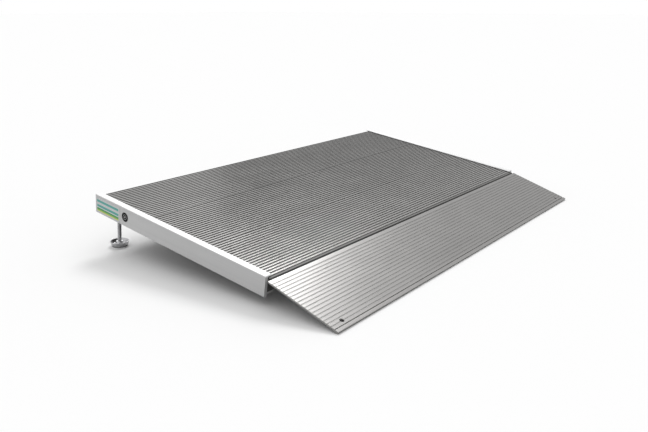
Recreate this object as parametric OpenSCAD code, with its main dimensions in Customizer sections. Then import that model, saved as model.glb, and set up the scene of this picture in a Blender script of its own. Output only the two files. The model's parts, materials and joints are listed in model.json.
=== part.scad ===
// Adjustable threshold ramp: a ribbed aluminium deck of three interlocking planks between
// two side rails, a transition plate that hinges on the deck's low nose, and four
// screw-adjusted legs on swivel feet.
// X runs across the ramp, Y runs up the ramp, Z is up. The origin is on the floor, below
// the middle of the whole ramp. On the deck, s is the distance up the slope from the
// rails' low end and n is the height square to the slope above the rails' top face.

/* [Ramp] */
// Width over the two side rails
ramp_w = 914.4; // [600:0.1:1200]
// Length of the side rails, along the slope
rail_len = 448.6; // [430:0.1:470]
// Height of the rails' top face at the high end
rise_high = 110.5; // [100:0.5:125]
// Height of the rails' top face at the low end
rise_low = 53.5; // [52:0.5:60]

/* [Side rails] */
// Height of a rail, square to the slope
rail_h = 36.75; // [36:0.25:42]
// Thickness of the rail's upright web
rail_web_t = 6; // [4:0.5:8]
// Width of the rail's top flange
rail_flange_w = 14.5; // [12:0.5:18]
// Thickness of the rail's top flange
rail_flange_t = 1.8; // [1.4:0.1:2.6]
// Width of the rail's lower ledge, web included
rail_ledge_w = 20; // [18:0.5:22]
// Thickness of the rail's lower ledge
rail_ledge_t = 3; // [2.5:0.1:4]
// Bevel along the rail's outer edges
rail_bevel = 0.8; // [0.3:0.1:1.2]
// Bevel across the top of the rail's low end
rail_end_bevel = 1.4; // [0.5:0.1:1.6]

/* [Deck planks] */
// Distance from the rails' low end to the first seam
seam_low = 142.8; // [140:0.1:150]
// Cover width of the middle plank
plank_w = 155.3; // [148:0.1:156]
// Step back of the deck's high edge from the rails' high end
deck_setback = 6.6; // [3:0.1:10]
// Depth of a plank from rib crest to foot
plank_h = 28; // [26:0.5:29]
// Thickness of the deck skin under the grooves
skin_t = 2.4; // [1.8:0.1:3.5]
// Thickness of the inner webs
web_t = 2.5; // [2:0.1:4]
// Thickness of the walls at a plank's edges
wall_t = 3; // [2.5:0.1:4]
// Width of the foot under an inner web
foot_w = 16; // [14.5:0.5:18]
// Width of the foot under an edge wall, wall included
edge_foot_w = 12; // [11:0.25:12.5]
// Thickness of the feet
foot_t = 4; // [3:0.1:5]
// Gap between neighbouring planks
seam_gap = 0.2; // [0.1:0.05:0.5]
// Length of the tongue that locks neighbouring planks
tongue_len = 3.3; // [2:0.1:4]
// Thickness of that tongue
tongue_t = 3; // [2:0.1:4]
// Wall of the grooved block around the tongue
block_wall = 2.4; // [2:0.1:3]
// Clearance around the tongue, and of the planks between the rails
fit_gap = 0.2; // [0.1:0.05:0.4]

/* [Ribs] */
// Spacing of the deck ribs
rib_pitch = 7.45; // [6.5:0.05:9]
// Width of a rib at its crest
rib_top = 3.6; // [2.5:0.1:4.5]
// Slope of each rib flank, as the width it takes
rib_flank = 0.5; // [0.2:0.1:0.9]
// Height of the ribs above the grooves
rib_h = 1.6; // [1:0.1:2.2]
// Flat left between the rails' low end and the first rib
front_groove = 0.6; // [0:0.1:1]
// Crest of the wider rib that starts at the first seam
seam_rib = 4.8; // [3.6:0.1:5.5]
// Flat left between the second seam and the next rib
seam_groove = 0.7; // [0.3:0.1:1.5]
// Least crest left on the land at the deck's high edge
end_rib = 0.6; // [0.5:0.1:2]

/* [Hinge] */
// Radius of the bead along the plate's upper edge
bead_r = 3.5; // [3:0.1:4]
// Radial clearance of the bead in its socket
bead_gap = 0.05; // [0.02:0.01:0.1]
// Wall of the socket around the bead
socket_wall = 2.45; // [2:0.05:3]
// Gap between the socket and the plate's edge
plate_gap = 0.5; // [0.4:0.05:0.8]
// Distance of the hinge axis in front of the rails' low end
hinge_out = 1; // [0.6:0.1:1.5]
// How far the front plank's wall stands inside the back of the socket
nose_lap = 0.5; // [0.2:0.1:1.5]
// Thickness of the neck between bead and plate
neck_t = 2; // [1.6:0.1:2.4]
// Length of the slope where the neck's underside runs into the plate
neck_ramp = 3; // [2:0.5:6]
// How far the plate swings down from rest
swing_down = 65; // [40:1:70]
// How far the plate swings up from rest
swing_up = 22; // [10:1:25]
// Free angle left between the neck and the socket's lips at those limits
swing_spare = 1.5; // [1:0.5:3]

/* [Transition plate] */
// Overhang of the plate beyond each rail
plate_over = 0.4; // [0:0.1:1]
// Distance from the hinge axis to the plate's tip
plate_reach = 149.2; // [130:0.1:180]
// Thickness of the plate
plate_t = 3.2; // [2.5:0.1:4]
// Height of the plate's top face above the hinge axis
plate_lift = 5.2; // [5:0.1:6]
// Distance from the hinge axis to the plate's upper edge
plate_edge = 4.65; // [4.6:0.05:5.5]
// Thickness of the plate at its tip
tip_t = 4.2; // [3.6:0.1:5]
// Width of the flat under the tip that lies on the floor
tip_flat = 6; // [4:0.5:8]
// Spacing of the shallow grooves
groove_pitch = 7.55; // [6.5:0.05:9]
// Number of shallow grooves
groove_count = 17; // [12:1:17]
// Distance from the plate's upper edge to the first groove
groove_first = 9.5; // [6:0.1:12]
// Width of a shallow groove
groove_w = 1.5; // [1:0.1:2.5]
// Depth of a shallow groove
groove_d = 0.7; // [0.3:0.1:1]
// Distance from the tip to the deep groove
tip_groove_back = 7; // [5:0.1:9]
// Width of the deep groove
tip_groove_w = 1.8; // [1:0.1:2.5]
// Depth of the deep groove
tip_groove_d = 1.3; // [0.6:0.1:1.6]
// Distance from the tip to the anchor holes
anchor_back = 15.5; // [14:0.1:20]
// Distance of the anchor holes from the plate's side edges
anchor_in = 27.6; // [15:0.1:60]
// Radius of an anchor hole
anchor_r = 3.5; // [2.5:0.1:4.2]
// Width of the countersink around an anchor hole
anchor_sink = 0.9; // [0.4:0.1:1.4]

/* [Legs] */
// Radius of the threaded leg rods
rod_r = 3.9; // [3:0.1:4.5]
// Radial clearance of the rods in nuts and leg plates
rod_gap = 0.05; // [0.02:0.01:0.1]
// Distance of the high legs from the rail's outer face
leg_high_in = 33.2; // [33:0.1:60]
// Distance of the low legs from the rail's outer face
leg_low_in = 97; // [60:1:200]
// Distance from the deck's high edge to the high legs
leg_high_back = 21; // [21:0.1:22]
// Distance from the rails' low end to the low legs
leg_low_s = 24.5; // [24:0.1:25.5]
// Depth of the rods' upper ends below the rails' top face
rod_top = 18; // [17:0.5:20]
// Width of a leg plate across the ramp
leg_plate_w = 26; // [20:0.5:26]
// Length of a leg plate along the slope
leg_plate_l = 42; // [40:0.5:43]
// Thickness of a leg plate
leg_plate_t = 4; // [3:0.1:5]
// Radius of the threaded boss on a leg plate
boss_r = 8; // [6.5:0.1:8.5]
// Height of that boss above the plate
boss_h = 22; // [14:0.5:23]
// Distance of the bolts from the rod
bolt_off = 15.5; // [15:0.1:16]
// Metal left between a leg bolt's hole and the plank's web
bolt_metal = 0.8; // [0.5:0.1:1.5]
// Width across the flats of the jam nuts
nut_af = 13; // [11:0.5:14]
// Thickness of the jam nuts
nut_t = 4; // [3:0.1:5]

/* [Swivel feet] */
// Radius of the foot cup at its rim
cup_r = 19; // [17:0.5:19]
// Radius of the foot cup at its foot
cup_base_r = 15.6; // [15:0.1:17]
// Height of the cup's rim above the floor
cup_rim_z = 10.2; // [7:0.1:10.4]
// Height of the dish between rim and hub above the floor
cup_dish_z = 3; // [2.6:0.1:3.4]
// Height of the hub above the ball's centre
hub_up = 3.4; // [3:0.1:3.6]
// Radius of the hub at its top
hub_r = 6.6; // [6:0.1:8]
// Radius of the ball
ball_r = 4.2; // [4:0.1:4.5]
// Clearance of the ball in the cup
ball_gap = 0.3; // [0.2:0.05:0.4]
// Radius of the neck above the ball
ball_neck_r = 2.2; // [1.8:0.1:2.4]
// Height from the ball's centre to the rod's full thickness
rod_shoulder = 5.3; // [5.2:0.1:7]
// Depth of each wrench flat on the rods
flat_cut = 0.6; // [0.3:0.1:1]
// Height of the wrench flats
flat_h = 3.5; // [2:0.5:6]
// Width of the cup's rolled rim
cup_rim_w = 1; // [0.6:0.1:1.6]
// Width of the slope inside the rim
cup_slope_w = 3.5; // [2.5:0.1:4]
// Width of the foot of the hub
hub_flare = 3.6; // [2:0.2:5]
// Thickness of the cup under the ball
cup_floor_t = 0.9; // [0.7:0.1:1.5]
// Thickness of the rubber sole
sole_t = 1.2; // [1:0.1:2.5]
// Step in of the sole from the cup's foot
sole_in = 0.6; // [0.5:0.1:2]

/* [Fasteners] */
// Radius of the rail screws' and leg bolts' shanks
screw_r = 2.2; // [1.8:0.1:2.4]
// Radial clearance of a shank in the foot that it threads into
thread_gap = 0.05; // [0.02:0.01:0.1]
// Radial clearance of a shank in the piece that it clamps
clamp_gap = 0.4; // [0.2:0.1:0.6]
// Length of the shanks
screw_len = 9; // [8:0.5:11]
// Radius of the heads
screw_head_r = 4.3; // [3.6:0.1:4.5]
// Height of the heads
screw_head_h = 2.6; // [2:0.1:2.8]
// Radius of the hexagon socket in a head, over its corners
screw_socket_r = 1.65; // [1.2:0.05:2]
// Depth of the hexagon socket
screw_socket_h = 1.6; // [1:0.1:1.8]

/* [Label and badge] */
// Length of the label along the rail
label_len = 74.5; // [50:0.5:90]
// Height of the label
label_h = 30.5; // [20:0.5:32]
// Distance from the rail's high end to the label
label_back = 1.2; // [0.5:0.1:10]
// Distance from the rail's top face down to the label
label_down = 5; // [2:0.1:5.4]
// Thickness of label and badge
decal_t = 0.25; // [0.1:0.05:0.35]
// Radius of the badge
badge_r = 9; // [6:0.5:12]
// Distance from the rail's high end to the badge's centre
badge_back = 91.6; // [90:0.1:150]
// Distance from the rail's top face down to the badge's centre
badge_down = 18; // [14:0.5:22]

/* [Hidden] */
$fn = 64;
// A little extra length for cuts that run through a face
through = 1;
// Small roundings and breaks on edges that a hand can reach
edge_break = 0.6;

// Slope of the deck
slope = asin((rise_high - rise_low) / rail_len);

// Levels on the deck, as n
crest_n = -rail_flange_t - fit_gap;
groove_n = crest_n - rib_h;
skin_n = groove_n - skin_t;
plank_n = crest_n - plank_h;
ledge_n = plank_n - rail_ledge_t;
leg_plate_n = plank_n - leg_plate_t;

// Places along the deck, as s
seam_high = seam_low + plank_w;
deck_end = rail_len - deck_setback;
leg_high_s = deck_end - leg_high_back;
plank_half = ramp_w / 2 - rail_web_t - fit_gap;
bolt_to_web = screw_r + web_t / 2 + bolt_metal;
web_low_s = leg_low_s + bolt_off + bolt_to_web;
web_high_s = leg_high_s - bolt_off - bolt_to_web;
rib_half = rib_top / 2 + rib_flank;
first_rib_s = rib_half + front_groove;

// The hinge: the bead's axis lies so that the socket's top runs into the groove floor
socket_r = bead_r + bead_gap;
nose_r = socket_r + socket_wall;
hinge_s = -hinge_out;
hinge_n = groove_n - nose_r;
neck_angle = asin(neck_t / 2 / socket_r);
front_wall_s = hinge_s + nose_r - wall_t - nose_lap;

// Places of the ramp in the world, before it is centred
function raw_y(s, n) = s * cos(slope) - n * sin(slope);
function deck_z(s, n) = rise_low + s * sin(slope) + n * cos(slope);
hinge_z = deck_z(hinge_s, hinge_n);

// The plate leans until its tip lies on the floor
tip_m = plate_lift - tip_t;
plate_angle = asin(hinge_z / norm([plate_reach, tip_m])) + atan2(tip_m, plate_reach);
plate_turn = plate_angle - slope;
raw_y_low = raw_y(hinge_s, hinge_n) - plate_reach * cos(plate_angle)
    - (plate_lift - edge_break) * sin(plate_angle);
raw_y_high = raw_y(rail_len, -rail_h);
shift_y = -(raw_y_low + raw_y_high) / 2;
function deck_y(s, n) = shift_y + raw_y(s, n);

// The legs
leg_high_x = ramp_w / 2 - leg_high_in;
leg_low_x = ramp_w / 2 - leg_low_in;
ball_z = sole_t + cup_floor_t + ball_gap + ball_r;
function ball_n(s) = (ball_z - deck_z(s, 0)) / cos(slope);
leg_list = [
    [-leg_high_x, leg_high_s], [leg_high_x, leg_high_s],
    [-leg_low_x, leg_low_s], [leg_low_x, leg_low_s]
];

// The rail screws sit in the edge feet of the three planks
foot_mid = (wall_t + edge_foot_w) / 2;
rail_screw_s = [
    front_wall_s + foot_mid, seam_low - foot_mid, seam_low + foot_mid,
    seam_high - foot_mid, seam_high + foot_mid, deck_end - foot_mid
];
rail_screw_in = (rail_web_t + rail_ledge_w) / 2;

// Puts what is drawn in deck places (x, s, n) on the ramp
module on_deck() {
    translate([0, shift_y, rise_low])
        rotate([slope, 0, 0])
            children();
}

// Puts what is drawn from the hinge axis, with -Y down the plate, on the plate
module on_plate() {
    translate([0, deck_y(hinge_s, hinge_n), hinge_z])
        rotate([plate_angle, 0, 0])
            children();
}

// Runs a (y, z) outline across the ramp from x0 to x1
module across(x0, x1) {
    translate([x0, 0, 0])
        rotate([90, 0, 90])
            linear_extrude(x1 - x0)
                children();
}

// A rectangle between two corners
module box2(a, b) {
    translate(a) square(b - a);
}

// Drills a hole square to the deck
module deck_hole(x, s, r) {
    translate([x, s, ledge_n - rail_h])
        cylinder(r = r, h = rail_h + foot_t + rail_ledge_t + through);
}

// The rail's section, with its outer top corner at the origin and x inward
module rail_section() {
    polygon([
        [0, -rail_h + rail_bevel], [rail_bevel, -rail_h],
        [rail_web_t - rail_bevel, -rail_h], [rail_web_t, -rail_h + rail_bevel],
        [rail_web_t, ledge_n], [rail_ledge_w, ledge_n],
        [rail_ledge_w, plank_n], [rail_web_t, plank_n],
        [rail_web_t, -rail_flange_t], [rail_flange_w, -rail_flange_t],
        [rail_flange_w, -rail_flange_t / 2], [rail_flange_w - rail_flange_t / 4, 0],
        [rail_bevel, 0], [0, -rail_bevel]
    ]);
}

// A left rail; the right one is its mirror
module rail() {
    color([0.78, 0.78, 0.78])
    on_deck()
    difference() {
        translate([-ramp_w / 2, rail_len, 0])
            rotate([90, 0, 0])
                linear_extrude(rail_len)
                    rail_section();
        translate([-ramp_w / 2 - through, 0, -rail_end_bevel])
            rotate([45, 0, 0])
                translate([0, -rail_end_bevel * 2, 0])
                    cube([rail_ledge_w + 2 * through, rail_end_bevel * 4, rail_end_bevel * 2]);
        for (s = rail_screw_s)
            deck_hole(-ramp_w / 2 + rail_screw_in, s, screw_r + clamp_gap);
    }
}

// The top line of one rib, or of a land of any width, from crest edge s0 to crest edge s1
function rib_line(s0, s1) = [
    [s0 - rib_flank, groove_n], [s0, crest_n], [s1, crest_n], [s1 + rib_flank, groove_n]
];

// The top line of a row of equal ribs, from the first rib's middle
function ribs_line(first, count) = [
    for (i = [0:count - 1])
        let (s = first + i * rib_pitch)
        each rib_line(s - rib_top / 2, s + rib_top / 2)
];

// The number of ribs that fit between the first rib's middle and a plank's edge
function rib_count(first, edge) = floor((edge - first - rib_half) / rib_pitch) + 1;

// The top line of a land that ends at a plank's high edge
function end_land(s0, s1) = [[s0 - rib_flank, groove_n], [s0, crest_n], [s1, crest_n]];

// The same points in the opposite order
function reversed(points) = [for (i = [len(points) - 1:-1:0]) points[i]];

// The deck skin from s0 to s1 under a top line
module skin(s0, s1, top_line) {
    polygon(concat([[s0, skin_n], [s1, skin_n]], reversed(top_line)));
}

// An inner web with its foot
module web(s) {
    box2([s - web_t / 2, plank_n], [s + web_t / 2, groove_n - skin_t / 2]);
    box2([s - foot_w / 2, plank_n], [s + foot_w / 2, plank_n + foot_t]);
}

// An edge wall from s inward, where side is 1 towards higher s and -1 towards lower s
module wall(s, side) {
    a = min(s, s + side * wall_t);
    f = min(s, s + side * edge_foot_w);
    box2([a, plank_n], [a + wall_t, groove_n - skin_t / 2]);
    box2([f, plank_n], [f + edge_foot_w, plank_n + foot_t]);
}

// The tongue on a plank's low edge, and the grooved block on its neighbour's high edge
tongue_n = crest_n - plank_h / 2;
module tongue(s) {
    box2([s - tongue_len - seam_gap, tongue_n - tongue_t / 2],
         [s + wall_t / 2, tongue_n + tongue_t / 2]);
}
module tongue_block(s) {
    box2([s - tongue_len - fit_gap - block_wall, tongue_n - tongue_t / 2 - fit_gap - block_wall],
         [s, tongue_n + tongue_t / 2 + fit_gap + block_wall]);
}
module tongue_slot(s) {
    box2([s - tongue_len - fit_gap, tongue_n - tongue_t / 2 - fit_gap],
         [s + through, tongue_n + tongue_t / 2 + fit_gap]);
}

// Holes in the plank feet for the rail screws and leg bolts between two places
module plank_holes(s0, s1) {
    for (s = rail_screw_s)
        if (s > s0 && s < s1)
            for (side = [-1, 1])
                deck_hole(side * (ramp_w / 2 - rail_screw_in), s, screw_r + thread_gap);
    for (leg = leg_list)
        for (off = [-bolt_off, bolt_off])
            if (leg[1] + off > s0 && leg[1] + off < s1)
                deck_hole(leg[0], leg[1] + off, screw_r + thread_gap);
}

// The front plank: hinge nose, ribs, and the grooved edge at the first seam
module front_plank() {
    s1 = seam_low - seam_gap / 2;
    count = rib_count(first_rib_s, s1);
    color([0.72, 0.72, 0.71])
    on_deck()
    difference() {
        across(-plank_half, plank_half)
        difference() {
            union() {
                skin(hinge_s, s1, concat(
                    [[hinge_s, groove_n]], ribs_line(first_rib_s, count), [[s1, groove_n]]));
                wall(front_wall_s, 1);
                web(web_low_s);
                web((web_low_s + s1 - wall_t / 2) / 2);
                wall(s1, -1);
                tongue_block(s1);
                translate([hinge_s, hinge_n]) circle(r = nose_r);
            }
            translate([hinge_s, hinge_n]) circle(r = socket_r);
            translate([hinge_s, hinge_n]) mouth();
            tongue_slot(s1);
        }
        plank_holes(front_wall_s, s1);
    }
}

// The mouth of the socket, which the neck swings through
module mouth() {
    rest = 180 + plate_turn;
    a0 = rest - swing_up - neck_angle - swing_spare;
    a1 = rest + swing_down + neck_angle + swing_spare;
    reach = nose_r + through;
    polygon([
        [0, 0],
        for (i = [0:6])
            let (a = a0 + (a1 - a0) * i / 6, c = cos((a1 - a0) / 12))
            [reach / c * cos(a), reach / c * sin(a)]
    ]);
}

// The middle plank: a tongue at its low edge and a groove at its high edge
module middle_plank() {
    s0 = seam_low + seam_gap / 2;
    s1 = seam_high - seam_gap / 2;
    first = s0 + seam_rib + rib_flank + rib_pitch - rib_half;
    count = rib_count(first, s1);
    color([0.72, 0.72, 0.71])
    on_deck()
    difference() {
        across(-plank_half, plank_half)
        difference() {
            union() {
                skin(s0, s1, concat(
                    [[s0, crest_n], [s0 + seam_rib, crest_n], [s0 + seam_rib + rib_flank, groove_n]],
                    ribs_line(first, count), [[s1, groove_n]]));
                wall(s0, 1);
                for (k = [1, 2])
                    web(s0 + k * (s1 - s0) / 3);
                wall(s1, -1);
                tongue(s0);
                tongue_block(s1);
            }
            tongue_slot(s1);
        }
        plank_holes(s0, s1);
    }
}

// The top plank: a tongue at its low edge and a plain end wall at the ramp's high end
module top_plank() {
    s0 = seam_high + seam_gap / 2;
    s1 = deck_end;
    first = s0 + rib_half + seam_groove;
    count = floor((s1 - end_rib + rib_top / 2 - first) / rib_pitch);
    last = first + (count - 1) * rib_pitch;
    color([0.72, 0.72, 0.71])
    on_deck()
    difference() {
        across(-plank_half, plank_half)
        union() {
            skin(s0, s1, concat(
                [[s0, groove_n]], ribs_line(first, count),
                end_land(last + rib_pitch - rib_top / 2, s1)));
            wall(s0, 1);
            web((s0 + wall_t / 2 + web_high_s) / 2);
            web(web_high_s);
            wall(s1, -1);
            tongue(s0);
        }
        plank_holes(s0, s1);
    }
}

// Height of the floor in the plate's section, at y = t from the hinge axis
function floor_m(t) = (t * sin(plate_angle) - hinge_z) / cos(plate_angle);

// The plate's section: y runs from the hinge axis towards the tip as negative values
module plate_section() {
    low = plate_lift - plate_t;
    heel = plate_reach - tip_flat;
    difference() {
        polygon([
            [-plate_edge, plate_lift], [-plate_reach + edge_break, plate_lift],
            [-plate_reach, plate_lift - edge_break], [-plate_reach, tip_m + edge_break],
            [-plate_reach + edge_break, floor_m(plate_reach - edge_break)],
            [-heel, floor_m(heel)], [-heel + 2 * tip_flat / 3, low],
            [-plate_edge, low]
        ]);
        circle(r = nose_r + plate_gap);
        for (i = [0:groove_count - 1])
            groove(plate_edge + groove_first + i * groove_pitch, groove_w, groove_d);
        groove(plate_reach - tip_groove_back, tip_groove_w, tip_groove_d);
    }
}

// One groove in the plate's top face, a little narrower at its floor
module groove(t, w, d) {
    polygon([
        [-t - w / 3, plate_lift - d], [-t + w / 3, plate_lift - d],
        [-t + w / 2, plate_lift], [-t + w / 2, plate_lift + through],
        [-t - w / 2, plate_lift + through], [-t - w / 2, plate_lift]
    ]);
}

// The bead, and the neck that joins it to the plate
module bead_section() {
    inside = plate_lift - plate_t * 3 / 4;
    start = nose_r + plate_gap;
    circle(r = bead_r);
    polygon([
        [0, neck_t / 2], [-start, neck_t / 2], [-start - edge_break, inside],
        [-start - neck_t - neck_ramp, inside], [-start - neck_t, -neck_t / 2], [0, -neck_t / 2]
    ]);
}

module transition_plate() {
    half = ramp_w / 2 + plate_over;
    color([0.8, 0.79, 0.78])
    on_plate()
    difference() {
        union() {
            across(-half, half) plate_section();
            across(-plank_half, plank_half) bead_section();
        }
        for (side = [-1, 1])
            translate([side * (half - anchor_in), -(plate_reach - anchor_back), 0]) {
                cylinder(r = anchor_r, h = plate_lift + through);
                translate([0, 0, plate_lift - anchor_sink])
                    cylinder(r1 = anchor_r, r2 = anchor_r + 2 * anchor_sink, h = 2 * anchor_sink);
            }
    }
}

// A screw whose head lies under the level n, domed by half its height, with a hexagon socket
module screw(x, s, n) {
    dome = screw_head_h / 2;
    translate([x, s, n]) {
        cylinder(r = screw_r, h = screw_len);
        difference() {
            union() {
                translate([0, 0, -dome])
                    cylinder(r = screw_head_r, h = dome);
                translate([0, 0, -screw_head_h])
                    cylinder(r1 = screw_head_r - dome, r2 = screw_head_r, h = dome);
            }
            translate([0, 0, -screw_head_h - through])
                cylinder(r = screw_socket_r, h = screw_socket_h + through, $fn = 6);
        }
    }
}

module rail_screws(side) {
    color([0.62, 0.62, 0.64])
    on_deck()
        for (s = rail_screw_s)
            screw(side * (ramp_w / 2 - rail_screw_in), s, ledge_n);
}

module leg_plate_bolts() {
    color([0.62, 0.62, 0.64])
    on_deck()
        for (leg = leg_list)
            for (off = [-bolt_off, bolt_off])
                screw(leg[0], leg[1] + off, leg_plate_n);
}

// A leg plate with its threaded boss, which stands up between two feet of a plank
module leg_plate(leg) {
    color([0.66, 0.66, 0.66])
    on_deck()
    difference() {
        union() {
            translate([leg[0] - leg_plate_w / 2, leg[1] - leg_plate_l / 2, leg_plate_n])
                cube([leg_plate_w, leg_plate_l, leg_plate_t]);
            translate([leg[0], leg[1], leg_plate_n])
                cylinder(r = boss_r, h = leg_plate_t + boss_h);
        }
        translate([leg[0], leg[1], leg_plate_n - through])
            cylinder(r = rod_r + rod_gap, h = leg_plate_t + boss_h + 2 * through);
        for (off = [-bolt_off, bolt_off])
            translate([leg[0], leg[1] + off, leg_plate_n - through])
                cylinder(r = screw_r + clamp_gap, h = leg_plate_t + 2 * through);
    }
}

module jam_nuts() {
    color([0.6, 0.6, 0.62])
    on_deck()
        for (leg = leg_list)
            translate([leg[0], leg[1], leg_plate_n - nut_t])
                difference() {
                    cylinder(r = nut_af / 2 / cos(30), h = nut_t, $fn = 6);
                    translate([0, 0, -through])
                        cylinder(r = rod_r + rod_gap, h = nut_t + 2 * through);
                }
}

// A leg rod: thread, wrench flats, neck and ball
module leg_rod(leg) {
    bottom = ball_n(leg[1]);
    color([0.7, 0.7, 0.72])
    on_deck()
    translate([leg[0], leg[1], bottom]) {
        sphere(r = ball_r);
        cylinder(r = ball_neck_r, h = rod_shoulder + through);
        difference() {
            translate([0, 0, rod_shoulder])
                cylinder(r = rod_r, h = -bottom - rod_top - rod_shoulder);
            for (turn = [0, 180])
                rotate([0, 0, turn])
                    translate([rod_r - flat_cut, -rod_r, rod_shoulder + through])
                        cube([rod_r, 2 * rod_r, flat_h]);
        }
    }
}

// A foot cup: a pressed bowl with a rolled rim and a hub around the ball
module foot_cup(leg) {
    hub_z = ball_z + hub_up;
    lip_z = hub_up - edge_break;
    mouth_r = sqrt(pow(ball_r + ball_gap, 2) - pow(lip_z, 2));
    mouth_h = edge_break + ball_gap * 2;
    rim_r = cup_r - edge_break;
    base_r = cup_base_r - edge_break;
    color([0.74, 0.74, 0.76])
    translate([leg[0], deck_y(leg[1], ball_n(leg[1])), 0])
    difference() {
        rotate_extrude()
            polygon([
                [0, sole_t], [base_r, sole_t], [cup_base_r, sole_t + edge_break],
                [cup_r, cup_rim_z - edge_break], [rim_r, cup_rim_z],
                [rim_r - cup_rim_w, cup_rim_z], [rim_r - cup_rim_w - cup_slope_w, cup_dish_z],
                [hub_r + hub_flare, cup_dish_z], [hub_r + hub_flare / 3, (2 * cup_dish_z + hub_z) / 3],
                [hub_r, hub_z - edge_break], [hub_r - edge_break, hub_z], [0, hub_z]
            ]);
        translate([0, 0, ball_z]) sphere(r = ball_r + ball_gap);
        translate([0, 0, ball_z + lip_z])
            cylinder(r1 = mouth_r, r2 = mouth_r + mouth_h, h = mouth_h);
    }
}

module foot_sole(leg) {
    color([0.12, 0.12, 0.12])
    translate([leg[0], deck_y(leg[1], ball_n(leg[1])), 0])
        cylinder(r = cup_base_r - sole_in, h = sole_t);
}

// The label and the badge lie on the left rail's outer face
module rail_label() {
    color([0.92, 0.94, 0.93])
    on_deck()
        translate([-ramp_w / 2 - decal_t, rail_len - label_back - label_len, -label_down - label_h])
            cube([decal_t, label_len, label_h]);
}

module round_badge() {
    color([0.07, 0.07, 0.07])
    on_deck()
        translate([-ramp_w / 2 - decal_t, rail_len - badge_back, -badge_down])
            rotate([0, 90, 0])
                cylinder(r = badge_r, h = decal_t);
}

rail();  // left_rail
mirror([1, 0, 0]) rail();  // right_rail
front_plank();
middle_plank();
top_plank();
transition_plate();
rail_screws(-1);  // rail_screws_left
rail_screws(1);  // rail_screws_right
leg_plate(leg_list[0]);  // leg_plate_top_left
leg_plate(leg_list[1]);  // leg_plate_top_right
leg_plate(leg_list[2]);  // leg_plate_low_left
leg_plate(leg_list[3]);  // leg_plate_low_right
leg_plate_bolts();
jam_nuts();
leg_rod(leg_list[0]);  // leg_rod_top_left
leg_rod(leg_list[1]);  // leg_rod_top_right
leg_rod(leg_list[2]);  // leg_rod_low_left
leg_rod(leg_list[3]);  // leg_rod_low_right
foot_cup(leg_list[0]);  // foot_cup_top_left
foot_cup(leg_list[1]);  // foot_cup_top_right
foot_cup(leg_list[2]);  // foot_cup_low_left
foot_cup(leg_list[3]);  // foot_cup_low_right
foot_sole(leg_list[0]);  // foot_sole_top_left
foot_sole(leg_list[1]);  // foot_sole_top_right
foot_sole(leg_list[2]);  // foot_sole_low_left
foot_sole(leg_list[3]);  // foot_sole_low_right
rail_label();
round_badge();
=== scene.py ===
"""Dresses a threshold ramp and stands it in a plain studio.

The ramp is a ribbed aluminium deck of three interlocking planks between two side rails,
with a transition plate that hinges on the deck's low edge and four screw-adjusted legs on
swivel feet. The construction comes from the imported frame. This file gives every piece its
finish, softens the machined edges, and models the threaded rods, nuts and feet in full.

Lengths named ``_mm`` are millimetres. Blender's own lengths are metres.
"""

from __future__ import annotations

import json
import logging
import math
from dataclasses import dataclass
from enum import Enum
from typing import Callable, Iterable, Sequence, Union

import bmesh
import bpy
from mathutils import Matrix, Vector

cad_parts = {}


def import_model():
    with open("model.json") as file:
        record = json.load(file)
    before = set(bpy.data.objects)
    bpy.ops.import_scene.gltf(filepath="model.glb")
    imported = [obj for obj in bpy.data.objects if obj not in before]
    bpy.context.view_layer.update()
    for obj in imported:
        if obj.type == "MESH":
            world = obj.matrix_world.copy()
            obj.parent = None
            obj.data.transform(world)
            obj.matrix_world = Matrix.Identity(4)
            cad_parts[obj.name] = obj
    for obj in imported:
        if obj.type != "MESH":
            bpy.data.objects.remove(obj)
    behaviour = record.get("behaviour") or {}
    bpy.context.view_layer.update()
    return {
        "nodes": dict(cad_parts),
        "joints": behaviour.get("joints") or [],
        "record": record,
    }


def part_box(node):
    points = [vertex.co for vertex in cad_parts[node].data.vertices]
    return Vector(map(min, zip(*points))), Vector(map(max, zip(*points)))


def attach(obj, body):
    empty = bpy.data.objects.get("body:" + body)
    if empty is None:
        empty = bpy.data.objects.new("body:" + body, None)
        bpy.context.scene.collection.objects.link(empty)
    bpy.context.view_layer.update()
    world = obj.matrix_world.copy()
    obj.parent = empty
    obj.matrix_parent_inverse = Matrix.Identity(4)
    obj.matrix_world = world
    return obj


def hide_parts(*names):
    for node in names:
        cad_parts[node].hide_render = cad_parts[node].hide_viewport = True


log = logging.getLogger("ramp")

MM = 0.001
# Direction across the ramp
ACROSS = Vector((1.0, 0.0, 0.0))
# Angle above which an edge of a CAD node is broken
BROKEN_DEG = 32.0
# Angle above which an edge of a modelled piece is drawn sharp
SHARP_DEG = 35.0
# Distance below which points of a CAD node are joined
CAD_WELD_MM = 0.0001
# Distance below which points of a modelled piece are joined
WELD_MM = 0.002
# Length below which an edge of a modelled piece is taken out
SLIVER_MM = 0.001

Colour = tuple[float, float, float]
Point2 = tuple[float, float]
Term = Union[float, "Field"]


class Corner(Enum):
    """The four legs, by where they stand."""

    TOP_LEFT = "top_left"
    TOP_RIGHT = "top_right"
    LOW_LEFT = "low_left"
    LOW_RIGHT = "low_right"


def grey(level: float) -> Colour:
    """Returns a colour without hue."""
    return (level, level, level)


# Shader maths


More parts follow.
